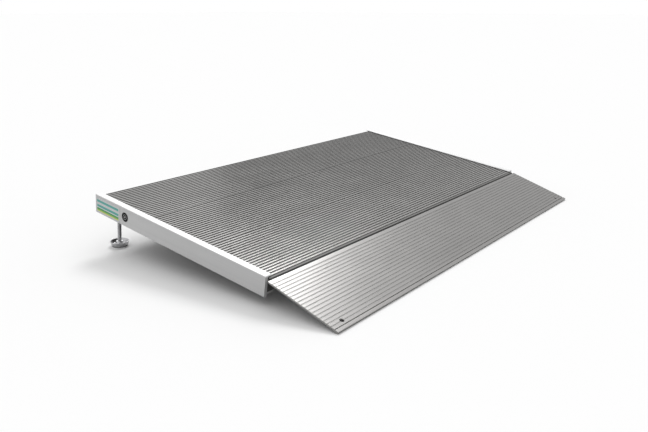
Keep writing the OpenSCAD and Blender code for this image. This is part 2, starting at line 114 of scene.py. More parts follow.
class Field:
    """A number that changes over a surface, with Python's operators as its maths."""

    def __init__(self, bench: Bench, socket: bpy.types.NodeSocket) -> None:
        """Wraps one output socket of a bench's node tree."""
        self.bench = bench
        self.socket = socket

    def __add__(self, other: Term) -> Field:
        """Returns self + other."""
        return self.bench.maths("ADD", self, other)

    def __radd__(self, other: Term) -> Field:
        """Returns other + self."""
        return self.bench.maths("ADD", other, self)

    def __sub__(self, other: Term) -> Field:
        """Returns self - other."""
        return self.bench.maths("SUBTRACT", self, other)

    def __rsub__(self, other: Term) -> Field:
        """Returns other - self."""
        return self.bench.maths("SUBTRACT", other, self)

    def __mul__(self, other: Term) -> Field:
        """Returns self * other."""
        return self.bench.maths("MULTIPLY", self, other)

    def __rmul__(self, other: Term) -> Field:
        """Returns other * self."""
        return self.bench.maths("MULTIPLY", other, self)

    def __truediv__(self, other: Term) -> Field:
        """Returns self / other."""
        return self.bench.maths("DIVIDE", self, other)

    def __mod__(self, other: Term) -> Field:
        """Returns self modulo other, never negative."""
        return self.bench.maths("FLOORED_MODULO", self, other)

    def __abs__(self) -> Field:
        """Returns the size of self without its sign."""
        return self.bench.maths("ABSOLUTE", self)

    def root(self) -> Field:
        """Returns the square root of self."""
        return self.bench.maths("SQRT", self)

    def rise(self, start: float, end: float) -> Field:
        """Makes a smooth step that is 0 at start and 1 at end.

        Args:
            start: Value of self where the step begins.
            end: Value of self where it is complete. It may lie below start.

        Returns:
            The step.
        """
        low, high = min(start, end), max(start, end)
        sockets = {"Value": self, "From Min": low, "From Max": high}
        node = self.bench.node("ShaderNodeMapRange", {"interpolation_type": "SMOOTHSTEP"}, sockets)
        step = Field(self.bench, node.outputs[0])
        return step if end > start else 1 - step

    def band(self, start: float, end: float, soft: float) -> Field:
        """Returns 1 between start and end and 0 outside, with edges of width soft."""
        half = soft / 2
        return self.rise(start - half, start + half) * self.rise(end + half, end - half)


class Bench:
    """The node tree of one material or world, with one method for every kind of node."""

    def __init__(self, tree: bpy.types.NodeTree) -> None:
        """Takes over a node tree and empties it."""
        self.tree = tree
        tree.nodes.clear()

    def node(
        self,
        kind: str,
        settings: dict[str, object] | None = None,
        sockets: dict[str | int, object] | None = None,
    ) -> bpy.types.Node:
        """Adds a node.

        Args:
            kind: The node's type.
            settings: Its properties, set first.
            sockets: Values, colours or links for its input sockets, by name or number.

        Returns:
            The new node.
        """
        made = self.tree.nodes.new(kind)
        for name, value in (settings or {}).items():
            setattr(made, name, value)
        for key, value in (sockets or {}).items():
            self.put(made.inputs[key], value)
        return made

    def put(self, socket: bpy.types.NodeSocket, value: object) -> None:
        """Links a field or a socket to an input, or sets the input's own value.

        Args:
            socket: The input.
            value: What it is linked to, or its own value.
        """
        if isinstance(value, Field):
            value = value.socket
        if isinstance(value, bpy.types.NodeSocket):
            self.tree.links.new(value, socket)
        elif isinstance(value, tuple) and len(value) == 3 and socket.type == "RGBA":
            socket.default_value = (*value, 1.0)
        else:
            socket.default_value = value

    def maths(self, operation: str, *terms: Term) -> Field:
        """Returns one Math node's result."""
        node = self.node("ShaderNodeMath", {"operation": operation}, dict(enumerate(terms)))
        return Field(self, node.outputs[0])

    def place(self) -> bpy.types.NodeSocket:
        """Returns the point on the piece, in metres in the ramp's own frame at rest."""
        return self.node("ShaderNodeTexCoord").outputs["Object"]

    def measure(self, direction: Vector, start_mm: float = 0.0) -> Field:
        """Measures how far the point lies along a direction.

        Args:
            direction: A unit vector in the ramp's frame.
            start_mm: The reading that counts as nought.

        Returns:
            The reading, in mm.
        """
        sockets = {0: self.place(), 1: tuple(direction)}
        node = self.node("ShaderNodeVectorMath", {"operation": "DOT_PRODUCT"}, sockets)
        return Field(self, node.outputs["Value"]) / MM - start_mm

    def noise(
        self, spot: Sequence[Field], size_mm: Sequence[float], detail: float, rough: float = 0.5
    ) -> Field:
        """Adds a noise.

        Args:
            spot: Two or three readings of the point, in mm.
            size_mm: Size of the noise's features along each of them.
            detail: Number of finer layers.
            rough: Strength of the finer layers.

        Returns:
            The noise, around 0.5.
        """
        terms = [reading / size for reading, size in zip(spot, size_mm)]
        scaled = self.node("ShaderNodeCombineXYZ", None, dict(enumerate(terms)))
        sockets = {"Vector": scaled.outputs[0], "Scale": 1.0, "Detail": detail, "Roughness": rough}
        return Field(self, self.node("ShaderNodeTexNoise", None, sockets).outputs[0])

    def tint(self, amount: Term, first: object, second: object) -> bpy.types.NodeSocket:
        """Blends two colours.

        Args:
            amount: Share of the second colour, from 0 to 1.
            first: The first colour.
            second: The second colour.

        Returns:
            The blend.
        """
        sockets = {0: amount, 6: first, 7: second}
        node = self.node("ShaderNodeMix", {"data_type": "RGBA"}, sockets)
        return node.outputs[2]

    def bump(self, height: Field, depth_mm: float) -> bpy.types.NodeSocket:
        """Returns a normal that is bent by a height of 0 to 1 times a real depth."""
        sockets = {"Height": height, "Distance": depth_mm * MM, "Strength": 1.0}
        return self.node("ShaderNodeBump", None, sockets).outputs[0]


@dataclass(frozen=True)
class Axes:
    """Directions that a surface's pattern is laid out on.

    Attributes:
        grain: Direction in which the metal was drawn through its die.
        side: Direction square to the grain, in the main face.
        out: Direction square to the main face.
    """

    grain: Vector
    side: Vector
    out: Vector

    def read(self, bench: Bench) -> tuple[Field, ...]:
        """Returns a point's readings along grain, side and out, in mm."""
        return tuple(bench.measure(way) for way in (self.grain, self.side, self.out))


def new_material(name: str) -> tuple[bpy.types.Material, Bench]:
    """Makes an empty node material.

    Args:
        name: Name of the material.

    Returns:
        The material and the bench for its nodes.
    """
    material = bpy.data.materials.new(name)
    material.use_nodes = True
    return material, Bench(material.node_tree)


def surface(bench: Bench, sockets: dict[str, object]) -> None:
    """Ends a material's tree in a Principled surface with these socket values."""
    shader = bench.node("ShaderNodeBsdfPrincipled", None, sockets)
    bench.node("ShaderNodeOutputMaterial", None, {"Surface": shader.outputs[0]})


# Finishes


@dataclass(frozen=True)
class WearAndPaintedLight:
    """Marks of use, grime, and painted light and shade on a bare metal, as they change over the
    surface.

    Attributes:
        tone: Factor on the colour: 1 for clean metal, less where it is grimy or has painted shade,
            more where it has painted light.
        dull: What is added to the roughness.
    """

    tone: Field
    dull: Term = 0.0


@dataclass(frozen=True)
class DrawnAluminium:
    """Bare aluminium as it leaves the die: fine lines along the grain and faint clouds.

    Attributes:
        name: Name of the material.
        colour: Colour of the clean metal.
        metallic: Share of metal in the surface.
        roughness: Roughness of the clean metal.
        line_mm: Spacing of the die lines.
        line_depth_mm: Depth of the die lines.
        edge_tint: Share of the gloss that is left at a grazing look.
        shade: How much die lines, streaks and clouds change the colour.
        line_long_mm: Length of the die lines.
        streak_mm: Length and width of the broader streaks.
        cloud_mm: Length and width of the clouds.
        scuff_mm: Length and width of the scuffs from handling.
        scuff_shade: How much the scuffs darken and dull the metal.
        scuff_at: Levels of the noise at which a scuff begins and is full.
        shows: How strongly lines, streaks and clouds show in the colour.
        line_dull: How much the die lines change the roughness.
        cloud_dull: How much the clouds change it.
    """

    name: str
    colour: Colour
    metallic: float
    roughness: float
    line_mm: float = 0.5
    line_depth_mm: float = 0.0015
    edge_tint: float = 1.0
    shade: float = 0.12
    line_long_mm: float = 260.0
    streak_mm: Point2 = (400.0, 9.0)
    cloud_mm: Point2 = (70.0, 45.0)
    scuff_mm: Point2 = (6.0, 22.0)
    scuff_shade: float = 0.05
    scuff_at: Point2 = (0.60, 0.74)
    shows: tuple[float, float, float] = (1.2, 0.8, 0.7)
    line_dull: float = 0.10
    cloud_dull: float = 0.08

    def build(
        self, axes: Axes, wear_and_light_rule: Callable[[Bench], WearAndPaintedLight] | None = None
    ) -> bpy.types.Material:
        """Makes the material.

        Args:
            axes: The directions of the piece.
            wear_and_light_rule: Gives the piece's marks of use, its grime, and its painted light
                and shade, where it has any.

        Returns:
            The material.
        """
        material, bench = new_material(self.name)
        spot = axes.read(bench)

        def drawn(size_mm: Point2, detail: float, rough: float = 0.5) -> Field:
            """Returns a noise of this length along the grain and this width across it."""
            length, width = size_mm
            return bench.noise(spot, (length, width, width), detail, rough)

        lines = drawn((self.line_long_mm, self.line_mm), 3, 0.6)
        streaks = drawn(self.streak_mm, 2)
        clouds = drawn(self.cloud_mm, 3)
        scuffs = self.scuff_shade * drawn(self.scuff_mm, 4, 0.65).rise(*self.scuff_at)
        line, streak, cloud = self.shows
        uneven = line * (lines - 0.5) + streak * (streaks - 0.5) + cloud * (clouds - 0.5)
        tone = 1 + self.shade * uneven - scuffs
        roughness = self.roughness + self.line_dull * (lines - 0.5)
        roughness = roughness + self.cloud_dull * (clouds - 0.5) + scuffs
        bright = tuple(2 * channel for channel in self.colour)
        # Marks of use, grime, and painted light and shade of the piece
        if wear_and_light_rule is not None:
            wear_and_light = wear_and_light_rule(bench)
            tone = tone * wear_and_light.tone
            roughness = roughness + wear_and_light.dull
        sockets = {
            "Base Color": bench.tint(tone / 2, grey(0.0), bright),
            "Metallic": self.metallic,
            "Roughness": roughness,
            "Specular Tint": grey(self.edge_tint),
            "Normal": bench.bump(lines + 6 * streaks, self.line_depth_mm),
        }
        surface(bench, sockets)
        return material


@dataclass(frozen=True)
class PlatedSteel:
    """Steel with a bright or a zinc plating, a little uneven in gloss.

    Attributes:
        name: Name of the material.
        colour: Colour of the plating.
        roughness: Roughness of the plating.
        mottle_mm: Size of the plating's mottling.
        mottle: How much the mottling changes gloss and colour.
        stain: Factor on the colour in a full stain.
        grain_mm: Size of the steel's fine grain.
        grain_depth_mm: Depth of the grain.
        stain_at: Levels of the noise at which a stain begins and is full.
        stain_cover: Share of a full stain that shows in the colour.
        stain_dull: What a full stain adds to the roughness.
        uneven: How much the mottling changes the roughness.
    """

    name: str
    colour: Colour
    roughness: float
    mottle_mm: float
    mottle: float
    stain: float = 0.62
    grain_mm: float = 0.35
    grain_depth_mm: float = 0.004
    stain_at: Point2 = (0.56, 0.70)
    stain_cover: float = 0.5
    stain_dull: float = 0.12
    uneven: float = 0.3

    def build(self, axes: Axes) -> bpy.types.Material:
        """Makes the material.

        Args:
            axes: The directions of the piece.

        Returns:
            The material.
        """
        material, bench = new_material(self.name)
        spot = axes.read(bench)
        coarse = bench.noise(spot, 3 * [self.mottle_mm], 3, 0.6)
        grain = bench.noise(spot, 3 * [self.grain_mm], 2)
        stains = coarse.rise(*self.stain_at)
        stained = tuple(self.stain * channel for channel in self.colour)
        shown = self.stain_cover * stains * self.mottle
        dull = self.uneven * (coarse - 0.5) + self.stain_dull * stains
        sockets = {
            "Base Color": bench.tint(shown, self.colour, stained),
            "Metallic": 1.0,
            "Roughness": self.roughness + self.mottle * dull,
            "Normal": bench.bump(grain, self.grain_depth_mm),
        }
        surface(bench, sockets)
        return material


@dataclass(frozen=True)
class Rubber:
    """Black moulded rubber with a fine grain and dust on it.

    Attributes:
        name: Name of the material.
        colour: Colour of the clean rubber.
        dust: Colour of the dust.
        cover: Share of the rubber's colour that the thickest dust hides.
        dust_mm: Size of the dusty patches.
        roughness: Mean roughness.
        grain_mm: Size of the moulded grain.
        grain_depth_mm: Depth of the grain.
        dust_at: Levels of the noise at which the dust begins and is thickest.
        uneven: How much the grain changes the roughness.
    """

    name: str
    colour: Colour
    dust: Colour
    cover: float = 0.35
    dust_mm: float = 5.0
    roughness: float = 0.72
    grain_mm: float = 0.4
    grain_depth_mm: float = 0.03
    dust_at: Point2 = (0.5, 0.75)
    uneven: float = 0.2

    def build(self, axes: Axes) -> bpy.types.Material:
        """Makes the material.

        Args:
            axes: The directions of the piece.

        Returns:
            The material.
        """
        material, bench = new_material(self.name)
        spot = axes.read(bench)
        grain = bench.noise(spot, 3 * [self.grain_mm], 3)
        dust = bench.noise(spot, 3 * [self.dust_mm], 4, 0.6).rise(*self.dust_at)
        sockets = {
            "Base Color": bench.tint(self.cover * dust, self.colour, self.dust),
            "Roughness": self.roughness + self.uneven * (grain - 0.5),
            "Normal": bench.bump(grain, self.grain_depth_mm),
        }
        surface(bench, sockets)
        return material


@dataclass(frozen=True)
class Film:
    """The thin plastic that a sticker is printed on.

    Attributes:
        roughness: Mean roughness.
        uneven: How much its weave changes the roughness.
        gloss: Specular level.
        weave_mm: Size of the weave.
        weave_depth_mm: Depth of the weave.
    """

    roughness: float
    uneven: float
    gloss: float
    weave_mm: float = 0.5
    weave_depth_mm: float = 0.006

    def cover(self, bench: Bench, spot: Sequence[Field], paint: bpy.types.NodeSocket) -> None:
        """Ends a material's tree in the film.

        Args:
            bench: The material's bench.
            spot: Two readings in the sticker's face, in mm.
            paint: The printed colours.
        """
        weave = bench.noise(spot, 2 * [self.weave_mm], 2)
        sockets = {
            "Base Color": paint,
            "Roughness": self.roughness + self.uneven * (weave - 0.5),
            "Specular IOR Level": self.gloss,
            "Normal": bench.bump(weave, self.weave_depth_mm),
        }
        surface(bench, sockets)


@dataclass(frozen=True)
class BandedFilm:
    """A printed label: a pale ground, with plain rules above and coloured bands below.

    Attributes:
        name: Name of the material.
        ground: Colour of the ground.
        edge: Colour of the thin frame line.
        bars: Colours of the bands, from the lowest.
        rule: Colour of the rules.
        frame_mm: Distances of the frame line's two sides from the label's edge.
        margin_mm: Distance of bands and rules from the label's edge.
        bar_mm: Height of a band.
        gap_mm: Height of the free strip between bands and rules.
        rules: Number of rules.
        rule_mm: Height of a rule.
        soft_mm: Softness of the printed edges.
        film: The plastic under the print.
    """

    name: str
    ground: Colour
    edge: Colour
    bars: tuple[Colour, ...]
    rule: Colour
    frame_mm: Point2 = (1.0, 1.4)
    margin_mm: float = 3.6
    bar_mm: float = 2.3
    gap_mm: float = 2.16
    rules: int = 2
    rule_mm: float = 4.6
    soft_mm: float = 0.12
    film: Film = Film(0.34, 0.08, 0.5)

    def stripes(self, height: float) -> list[tuple[float, float, Colour]]:
        """Lays out the bands and the rules.

        Args:
            height: Height of the label, in mm.

        Returns:
            Foot, height and colour of each, from the lowest.
        """
        bands = [
            (self.margin_mm + number * self.bar_mm, self.bar_mm, colour)
            for number, colour in enumerate(self.bars)
        ]
        start = self.margin_mm + len(self.bars) * self.bar_mm + self.gap_mm
        step = (height - self.margin_mm - self.rule_mm - start) / (self.rules - 1)
        rules = [(start + number * step, self.rule_mm, self.rule) for number in range(self.rules)]
        return bands + rules

    def build(self, axes: Axes, low: Point2, size: Point2) -> bpy.types.Material:
        """Makes the material.

        Args:
            axes: grain runs along the rail towards its high end, side up the label.
            low: Readings of those two directions at the label's low corner, in mm.
            size: Length and height of the label, in mm.

        Returns:
            The material.
        """
        material, bench = new_material(self.name)
        length, height = size
        back = length - bench.measure(axes.grain, low[0])
        up = bench.measure(axes.side, low[1])

        def within(inset: float) -> Field:
            """Returns 1 on the label but for a border of this width, and 0 there."""
            wide = back.band(inset, length - inset, self.soft_mm)
            return wide * up.band(inset, height - inset, self.soft_mm)

        outer, inner = self.frame_mm
        paint = bench.tint(within(outer) - within(inner), self.ground, self.edge)
        wide = back.band(self.margin_mm, length - self.margin_mm, self.soft_mm)
        for foot, tall, colour in self.stripes(height):
            stripe = up.band(foot, foot + tall, self.soft_mm)
            paint = bench.tint(stripe * wide, paint, colour)
        self.film.cover(bench, (back, up), paint)
        return material


@dataclass(frozen=True)
class RingedFilm:
    """A round black sticker with one pale ring and a pale dot.

    Attributes:
        name: Name of the material.
        ground: Colour of the disc.
        mark: Colour of ring and dot.
        ring_mm: Inner and outer radius of the ring.
        dot_mm: Radius of the dot.
        soft_mm: Softness of the printed edges.
        film: The plastic under the print.
    """

    name: str
    ground: Colour
    mark: Colour
    ring_mm: Point2 = (4.4, 5.0)
    dot_mm: float = 1.5
    soft_mm: float = 0.15
    film: Film = Film(0.36, 0.1, 0.08)

    def build(self, axes: Axes, centre: Point2) -> bpy.types.Material:
        """Makes the material.

        Args:
            axes: grain and side are the two directions in the disc's face.
            centre: Readings of those two directions at the disc's centre, in mm.

        Returns:
            The material.
        """
        material, bench = new_material(self.name)
        first = bench.measure(axes.grain, centre[0])
        second = bench.measure(axes.side, centre[1])
        radius = (first * first + second * second).root()
        ring = radius.band(*self.ring_mm, self.soft_mm)
        dot = radius.rise(self.dot_mm + self.soft_mm, self.dot_mm)
        self.film.cover(bench, (first, second), bench.tint(ring + dot, self.ground, self.mark))
        return material


# Meshes


def span(node: bpy.types.Object, direction: Vector) -> Point2:
    """Returns the lowest and highest reading of a CAD node along a direction, in mm."""
    readings = [vertex.co.dot(direction) / MM for vertex in node.data.vertices]
    return min(readings), max(readings)


def soften(node: bpy.types.Object, width_mm: float, steps: int = 2) -> None:
    """Gives a CAD node the small broken edges of a real extrusion or machined piece.

    Args:
        node: The CAD node's object.
        width_mm: Width of the broken edge.
        steps: Facets across it.
    """
    weld = node.modifiers.new("Weld", "WELD")
    weld.merge_threshold = CAD_WELD_MM * MM
    bevel = node.modifiers.new("Broken_edges", "BEVEL")
    bevel.width = width_mm * MM
    bevel.segments = steps
    bevel.limit_method = "ANGLE"
    bevel.angle_limit = math.radians(BROKEN_DEG)
    weighted = node.modifiers.new("Flat_faces", "WEIGHTED_NORMAL")
    weighted.keep_sharp = False


def dress(node: bpy.types.Object, material: bpy.types.Material) -> None:
    """Puts one material in every slot of an object, and adds a slot if it has none.

    Args:
        node: The object.
        material: Its finish.
    """
    if not node.material_slots:
        node.data.materials.append(material)
    for slot in node.material_slots:
        slot.material = material


def round_corners(points: Sequence[tuple[float, float, float]], steps: int = 5) -> list[Point2]:
    """Rounds the corners of an open outline with arcs.

    Args:
        points: Corner after corner as x, y and the radius of its rounding.
        steps: Number of facets in each arc.

    Returns:
        The rounded outline.
    """
    outline: list[Point2] = []
    last = len(points) - 1
    for index, (x, y, radius) in enumerate(points):
        corner = Vector((x, y))
        if radius <= 0 or index in (0, last):
            outline.append((x, y))
            continue
        before = Vector(points[index - 1][:2]) - corner
        after = Vector(points[index + 1][:2]) - corner
        half = before.angle(after) / 2
        # An arc takes up a little less than half of the shorter side
        room = 0.49 * min(before.length, after.length)
        reach = min(radius / math.tan(half), room)
        radius = reach * math.tan(half)
        inward = (before.normalized() + after.normalized()).normalized()
        middle = corner + inward * (radius / math.sin(half))
        start = corner + before.normalized() * reach - middle
        end = corner + after.normalized() * reach - middle
        for step in range(steps + 1):
            spoke = start.slerp(end, step / steps) * radius
            outline.append(tuple(middle + spoke))
    return outline


def make_object(
    name: str, points: Iterable[Vector], faces: Iterable[Sequence[int]]
) -> bpy.types.Object:
    """Makes a clean mesh object: no doubled points, outward faces, sharp edges by angle.

    Args:
        name: Name of the object.
        points: The mesh's points, in metres.
        faces: Its faces, as indices of the points.

    Returns:
        The object, linked to the scene.
    """
    mesh = bpy.data.meshes.new(name)
    mesh.from_pydata([tuple(point) for point in points], [], [tuple(face) for face in faces])
    work = bmesh.new()
    work.from_mesh(mesh)
    bmesh.ops.remove_doubles(work, verts=work.verts, dist=WELD_MM * MM)
    bmesh.ops.dissolve_degenerate(work, edges=work.edges, dist=SLIVER_MM * MM)
    bmesh.ops.recalc_face_normals(work, faces=work.faces)
    work.to_mesh(mesh)
    work.free()
    mesh.shade_smooth()
    mesh.set_sharp_from_angle(angle=math.radians(SHARP_DEG))
    made = bpy.data.objects.new(name, mesh)
    bpy.context.scene.collection.objects.link(made)
    return made


def grid_faces(rows: int, columns: int) -> list[tuple[int, int, int, int]]:
    """Joins a grid of points whose columns close on themselves.

    Args:
        rows: Number of rows.
        columns: Number of columns.

    Returns:
        The grid's faces, as indices of the points.
    """
    return [
        (
            row * columns + column,
            row * columns + (column + 1) % columns,
            (row + 1) * columns + (column + 1) % columns,
            (row + 1) * columns + column,
        )
        for row in range(rows - 1)
        for column in range(columns)
    ]


@dataclass(frozen=True)
class Spindle:
    """An upright line that round pieces are turned about.

    Attributes:
        base: The point that heights are measured from, in metres.
        up: Unit vector along the line.
    """

    base: Vector
    up: Vector

    def point(self, radius_mm: float, angle: float, height_mm: float) -> Vector:
        """Returns the point at a radius, an angle and a height."""
        spoke = ACROSS * math.cos(angle) + self.up.cross(ACROSS) * math.sin(angle)
        return self.base + (spoke * radius_mm + self.up * height_mm) * MM

    def turn(self, name: str, outline: Sequence[Point2], facets: int) -> bpy.types.Object:
        """Turns an outline into a closed round piece.

        Args:
            name: Name of the object.
            outline: Radius and height of each point. Both ends lie on the line.
            facets: Number of facets around.

        Returns:
            The object.
        """
        return self.shape(name, len(outline), facets, lambda row, angle: outline[row])

    def shape(
        self, name: str, rows: int, facets: int, rule: Callable[[int, float], Point2]
    ) -> bpy.types.Object:
        """Makes a piece whose outline may change with the angle.

        Args:
            name: Name of the object.
            rows: Number of points in the outline.
            facets: Number of facets around.
            rule: Gives radius and height, in mm, for a row and an angle.

        Returns:
            The object.
        """
        points = []
        for row in range(rows):
            for facet in range(facets):
                angle = math.tau * facet / facets
                radius, height = rule(row, angle)
                points.append(self.point(radius, angle, height))
        return make_object(name, points, grid_faces(rows, facets))


# Pieces


def seat(
    made: bpy.types.Object, body: str, node: str, material: bpy.types.Material
) -> None:
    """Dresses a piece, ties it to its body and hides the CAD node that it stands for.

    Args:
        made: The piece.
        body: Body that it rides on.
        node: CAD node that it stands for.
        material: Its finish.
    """
    dress(made, material)
    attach(made, body)
    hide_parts(node)
    log.info("%s rides on %s and stands for %s", made.name, body, node)


@dataclass(frozen=True)
class Seam:
    """The grime that has gathered where two planks join.

    Attributes:
        start_mm: Distance of its low side from the rails' low end.
        end_mm: Distance of its high side.
        shade: How much it darkens the metal.
        soft_mm: Softness of its two sides.
    """

    start_mm: float
    end_mm: float
    shade: float
    soft_mm: float = 3.0


@dataclass
class Deck:
    """The side rails and the three ribbed planks between them.

    Attributes:
        nodes: The CAD nodes by name.
        up: Direction square to the deck.
        along: Direction up the slope.
        rib_h_mm: Height of the ribs.
        rail_edge_mm: Width of the rails' broken edges.
        patch_mm: Size of the uneven patches, across the ramp and up the slope.
        patch_tone: How much the patches change the colour.
        soft_mm: Softness of the edges between crests, flanks and floors.
        crest_mm: How far below the crests the painted flank shade begins.
        floor_mm: How far below the ribs' feet a face still counts as floor.
        nose_mm: Distances from the rails' low end where the nose ends and where it is full.
        nose_down_mm: Heights from the crests where it ends and where it is full.
        front_mm: Heights from the ribs' feet where the nose's front begins and is full.
        flank_shade: How much the ribs' flanks are darker than their crests, as painted shade.
        floor_painted_light: How much the floors between the ribs are brighter than the crests, as
            painted light.
        floor_dull: What flanks, floors and nose add to the roughness.
        nose_shade: How much the front plank's nose is darker than the crests, as painted shade.
        front_shade: What the nose's upright front adds to that painted shade.
        fade: How much the planks darken, as painted shade, from the low end to the high end.
        fade_mm: Distances from the rails' low end between which they do.
        lip_mm: Width of the painted shadow line along a flange's inner lip.
        lip_down_mm: How far the line reaches below the rails' top face.
        lip_soft_mm: Softness of its long edge, and half the softness of its foot.
        lip_shade: How much the line darkens the metal.
        seams: The dirty seams between the planks.
        rail_finish: Finish of the rails.
        plank_finish: Finish of the planks.
    """

    nodes: dict[str, bpy.types.Object]
    up: Vector
    along: Vector
    rib_h_mm: float = 1.6
    rail_edge_mm: float = 0.45
    patch_mm: Point2 = (160.0, 90.0)
    patch_tone: float = 0.10
    soft_mm: float = 0.08
    crest_mm: float = 0.1
    floor_mm: float = 0.5
    nose_mm: Point2 = (0.6, 0.3)
    nose_down_mm: Point2 = (-0.1, -0.2)
    front_mm: Point2 = (-0.1, -0.9)
    flank_shade: float = 0.62
    floor_painted_light: float = 0.25
    floor_dull: float = 0.4
    nose_shade: float = 0.40
    front_shade: float = 0.45
    fade: float = 0.16
    fade_mm: Point2 = (0.0, 440.0)
    lip_mm: float = 1.6
    lip_down_mm: float = 2.5
    lip_soft_mm: Point2 = (0.2, 0.1)
    lip_shade: float = 0.55
    seams: tuple[Seam, ...] = (Seam(141.0, 150.0, 0.12), Seam(290.0, 299.5, 0.20))
    rail_finish: DrawnAluminium = DrawnAluminium("Rail_aluminium", (0.72, 0.72, 0.72), 0.20, 0.42)
    plank_finish: DrawnAluminium = DrawnAluminium(
        "Deck_aluminium", (0.280, 0.276, 0.270), 1.0, 0.185, edge_tint=0.74
    )

    RAILS = ("left_rail", "right_rail")
    PLANKS = ("front_plank", "middle_plank", "top_plank")

    def painted_rib_light_and_grime(self, bench: Bench) -> WearAndPaintedLight:
        """Works out the planks' tone: painted shade on the rib flanks and the nose, painted light
        on the floors between the ribs, grime at the seams, uneven patches, and a painted shade
        that darkens towards the high end, with duller flanks, floors and nose.

        Args:
            bench: The bench of the planks' material.

        Returns:
            The painted light and shade, the grime and the added roughness.
        """
        # Heights count from the ribs' crests, and slope from the rails' low end
        level = bench.measure(self.up, span(self.nodes["middle_plank"], self.up)[1])
        slope = bench.measure(self.along, span(self.nodes["left_rail"], self.along)[0])
        spot = (bench.measure(ACROSS), bench.measure(self.along))
        patches = bench.noise(spot, self.patch_mm, 3)
        bed, soft = -self.rib_h_mm, self.soft_mm
        flank = level.band(bed + soft, -self.crest_mm, soft)
        floor = level.band(bed - self.floor_mm, bed + soft, soft)
        nose = slope.rise(*self.nose_mm) * level.rise(*self.nose_down_mm)
        front = level.rise(*(bed + height for height in self.front_mm))
        flank, floor = flank * (1 - nose), floor * (1 - nose)
        # Painted light on the floors between the ribs; painted shade on the rib flanks, on the
        # nose and on its upright front
        tone = 1 + self.patch_tone * (patches - 0.5) + self.floor_painted_light * floor
        tone = tone - self.flank_shade * flank
        tone = tone - nose * (self.nose_shade + self.front_shade * front)
        for seam in self.seams:
            grime_and_painted_shade = slope.band(seam.start_mm, seam.end_mm, seam.soft_mm)
            tone = tone * (1 - seam.shade * grime_and_painted_shade)
        # Painted shade: the planks darken towards the high end
        tone = tone * (1 - self.fade * slope.rise(*self.fade_mm))
        return WearAndPaintedLight(tone, self.floor_dull * (flank + floor + nose))

    def painted_lip_shadow(self, bench: Bench) -> WearAndPaintedLight:
        """Works out the rails' painted shade: a dark shadow line painted along each flange's inner
        lip.

        Args:
            bench: The bench of the rails' material.

        Returns:
            The painted shade.
        """
        rail = self.nodes["left_rail"]
        inner = -span(rail, ACROSS)[1]
        level = bench.measure(self.up, span(rail, self.up)[1])
        edge, foot = self.lip_soft_mm
        # Painted shadow: a dark line along each flange's inner lip
        lip = (abs(bench.measure(ACROSS)) - inner).rise(self.lip_mm + edge, self.lip_mm)
        lip = lip * level.rise(-self.lip_down_mm - foot, -self.lip_down_mm + foot)
        return WearAndPaintedLight(1 - self.lip_shade * lip)

    def dress(self) -> None:
        """Softens the edges of the rails and gives rails and planks their finishes."""
        rail = self.rail_finish.build(Axes(self.along, self.up, ACROSS), self.painted_lip_shadow)
        plank = self.plank_finish.build(Axes(ACROSS, self.along, self.up), self.painted_rib_light_and_grime)
        for name in self.RAILS:
            soften(self.nodes[name], self.rail_edge_mm, 3)
            dress(self.nodes[name], rail)
            log.info("%s dressed", name)
        for name in self.PLANKS:
            dress(self.nodes[name], plank)
            log.info("%s dressed", name)


@dataclass
class TransitionPlate:
    """The grooved plate that hinges on the deck's low edge.

    Attributes:
        node: The CAD node.
        up: Direction square to the plate.
        along: Direction up the plate.
        hinge: A point on the hinge line.
        edge_mm: Width of the broken edges.
        groove_pitch_mm: Spacing of the shallow grooves.
        groove_back_mm: Distance from the hinge line to the first groove's middle.
        grooves: Number of shallow grooves.
        groove_painted_shade: How much the painted shade along the grooves darkens the metal.
        groove_shade_mm: Distances from a groove's middle where its painted shade thins and where
            it ends.
        groove_shade_down_mm: How far the painted shade reaches below the top face.
        groove_shade_dull: What the painted shade band adds to the roughness.
        cut_painted_light: How much brighter the cut inside of the grooves is, as painted light.
        cut_mm: Heights of the cut's two ends, from the top face.
        soft_mm: Softness of the cut's ends, and half the softness of the dirt's.
        finish: Finish of the plate.
    """

    node: bpy.types.Object
    up: Vector
    along: Vector
    hinge: Vector
    edge_mm: float = 0.3
    groove_pitch_mm: float = 7.55
    groove_back_mm: float = 14.15
    grooves: int = 17
    groove_painted_shade: float = 0.25
    groove_shade_mm: Point2 = (0.6, 3.5)
    groove_shade_down_mm: float = 1.5
    groove_shade_dull: float = 0.03
    cut_painted_light: float = 0.40
    cut_mm: Point2 = (-0.75, -0.1)
    soft_mm: float = 0.1
    finish: DrawnAluminium = DrawnAluminium(
        "Plate_aluminium", (0.272, 0.268, 0.263), 1.0, 0.295, edge_tint=0.82
    )

    def painted_groove_shading(self, bench: Bench) -> WearAndPaintedLight:
        """Works out the plate's painted shading: soft painted shade along the grooves, duller
        there, and painted light on the cut inside of the grooves.

        Args:
            bench: The bench of the plate's material.

        Returns:
            The painted light and shade, and the added roughness along the grooves.
        """
        level = bench.measure(self.up, span(self.node, self.up)[1])
        back = bench.measure(-self.along, -self.hinge.dot(self.along) / MM)
        half = self.groove_pitch_mm / 2
        turn = (back - self.groove_back_mm + half) % self.groove_pitch_mm
        near = 1 - abs(turn - half).rise(*self.groove_shade_mm)
        first = self.groove_back_mm - half
        last, soft = first + self.grooves * self.groove_pitch_mm, self.soft_mm
        rows = back.band(first, last, 2 * soft)
        face = level.rise(-self.groove_shade_down_mm - soft, -self.groove_shade_down_mm + soft)
        # Painted shade in soft bands along the grooves
        grime_and_painted_shade = near * rows * face
        # Painted light on the cut inside of the grooves
        cut = level.band(*self.cut_mm, soft)
        return WearAndPaintedLight(1 - self.groove_painted_shade * grime_and_painted_shade + self.cut_painted_light * cut, self.groove_shade_dull * grime_and_painted_shade)

    def dress(self) -> None:
        """Softens the plate's edges and gives it its finish."""
        soften(self.node, self.edge_mm)
        dress(self.node, self.finish.build(Axes(ACROSS, self.along, self.up), self.painted_groove_shading))
        log.info("%s dressed", self.node.name)


